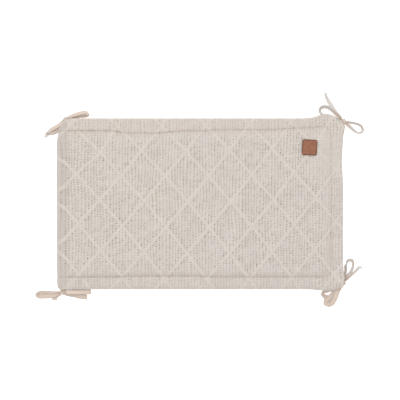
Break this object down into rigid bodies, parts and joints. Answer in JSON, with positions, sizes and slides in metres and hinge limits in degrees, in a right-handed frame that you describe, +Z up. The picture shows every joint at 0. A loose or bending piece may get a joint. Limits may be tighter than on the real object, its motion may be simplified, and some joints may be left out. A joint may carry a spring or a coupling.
{
  "type": "playpen bumper",
  "caption": "Long padded bumper strip of trellis-patterned knit, folded in three, with a leather patch and a tape tie bowed at each corner.",
  "frame": {"origin": "on the surface that the folded strip lies on, under the middle of the stack", "axes": "+X along the folded strip towards the free end of its top layer, +Y across the strip towards the side with the patch, +Z up out of the patterned face"},
  "size_m": [0.6906, 0.4472, 0.0567],
  "materials": {
    "knit_cloth": "warm light grey cotton knit",
    "patch_leather": "tan brown leather with a darker cut edge",
    "tie_tape": "unbleached cotton tape"
  },
  "bodies": {
    "root": {"bumper_strip": "knit_cloth", "leather_patch": "patch_leather", "tie_left_back": "tie_tape", "tie_left_front": "tie_tape", "tie_right_back": "tie_tape", "tie_right_front": "tie_tape"}
  },
  "joints": []
}
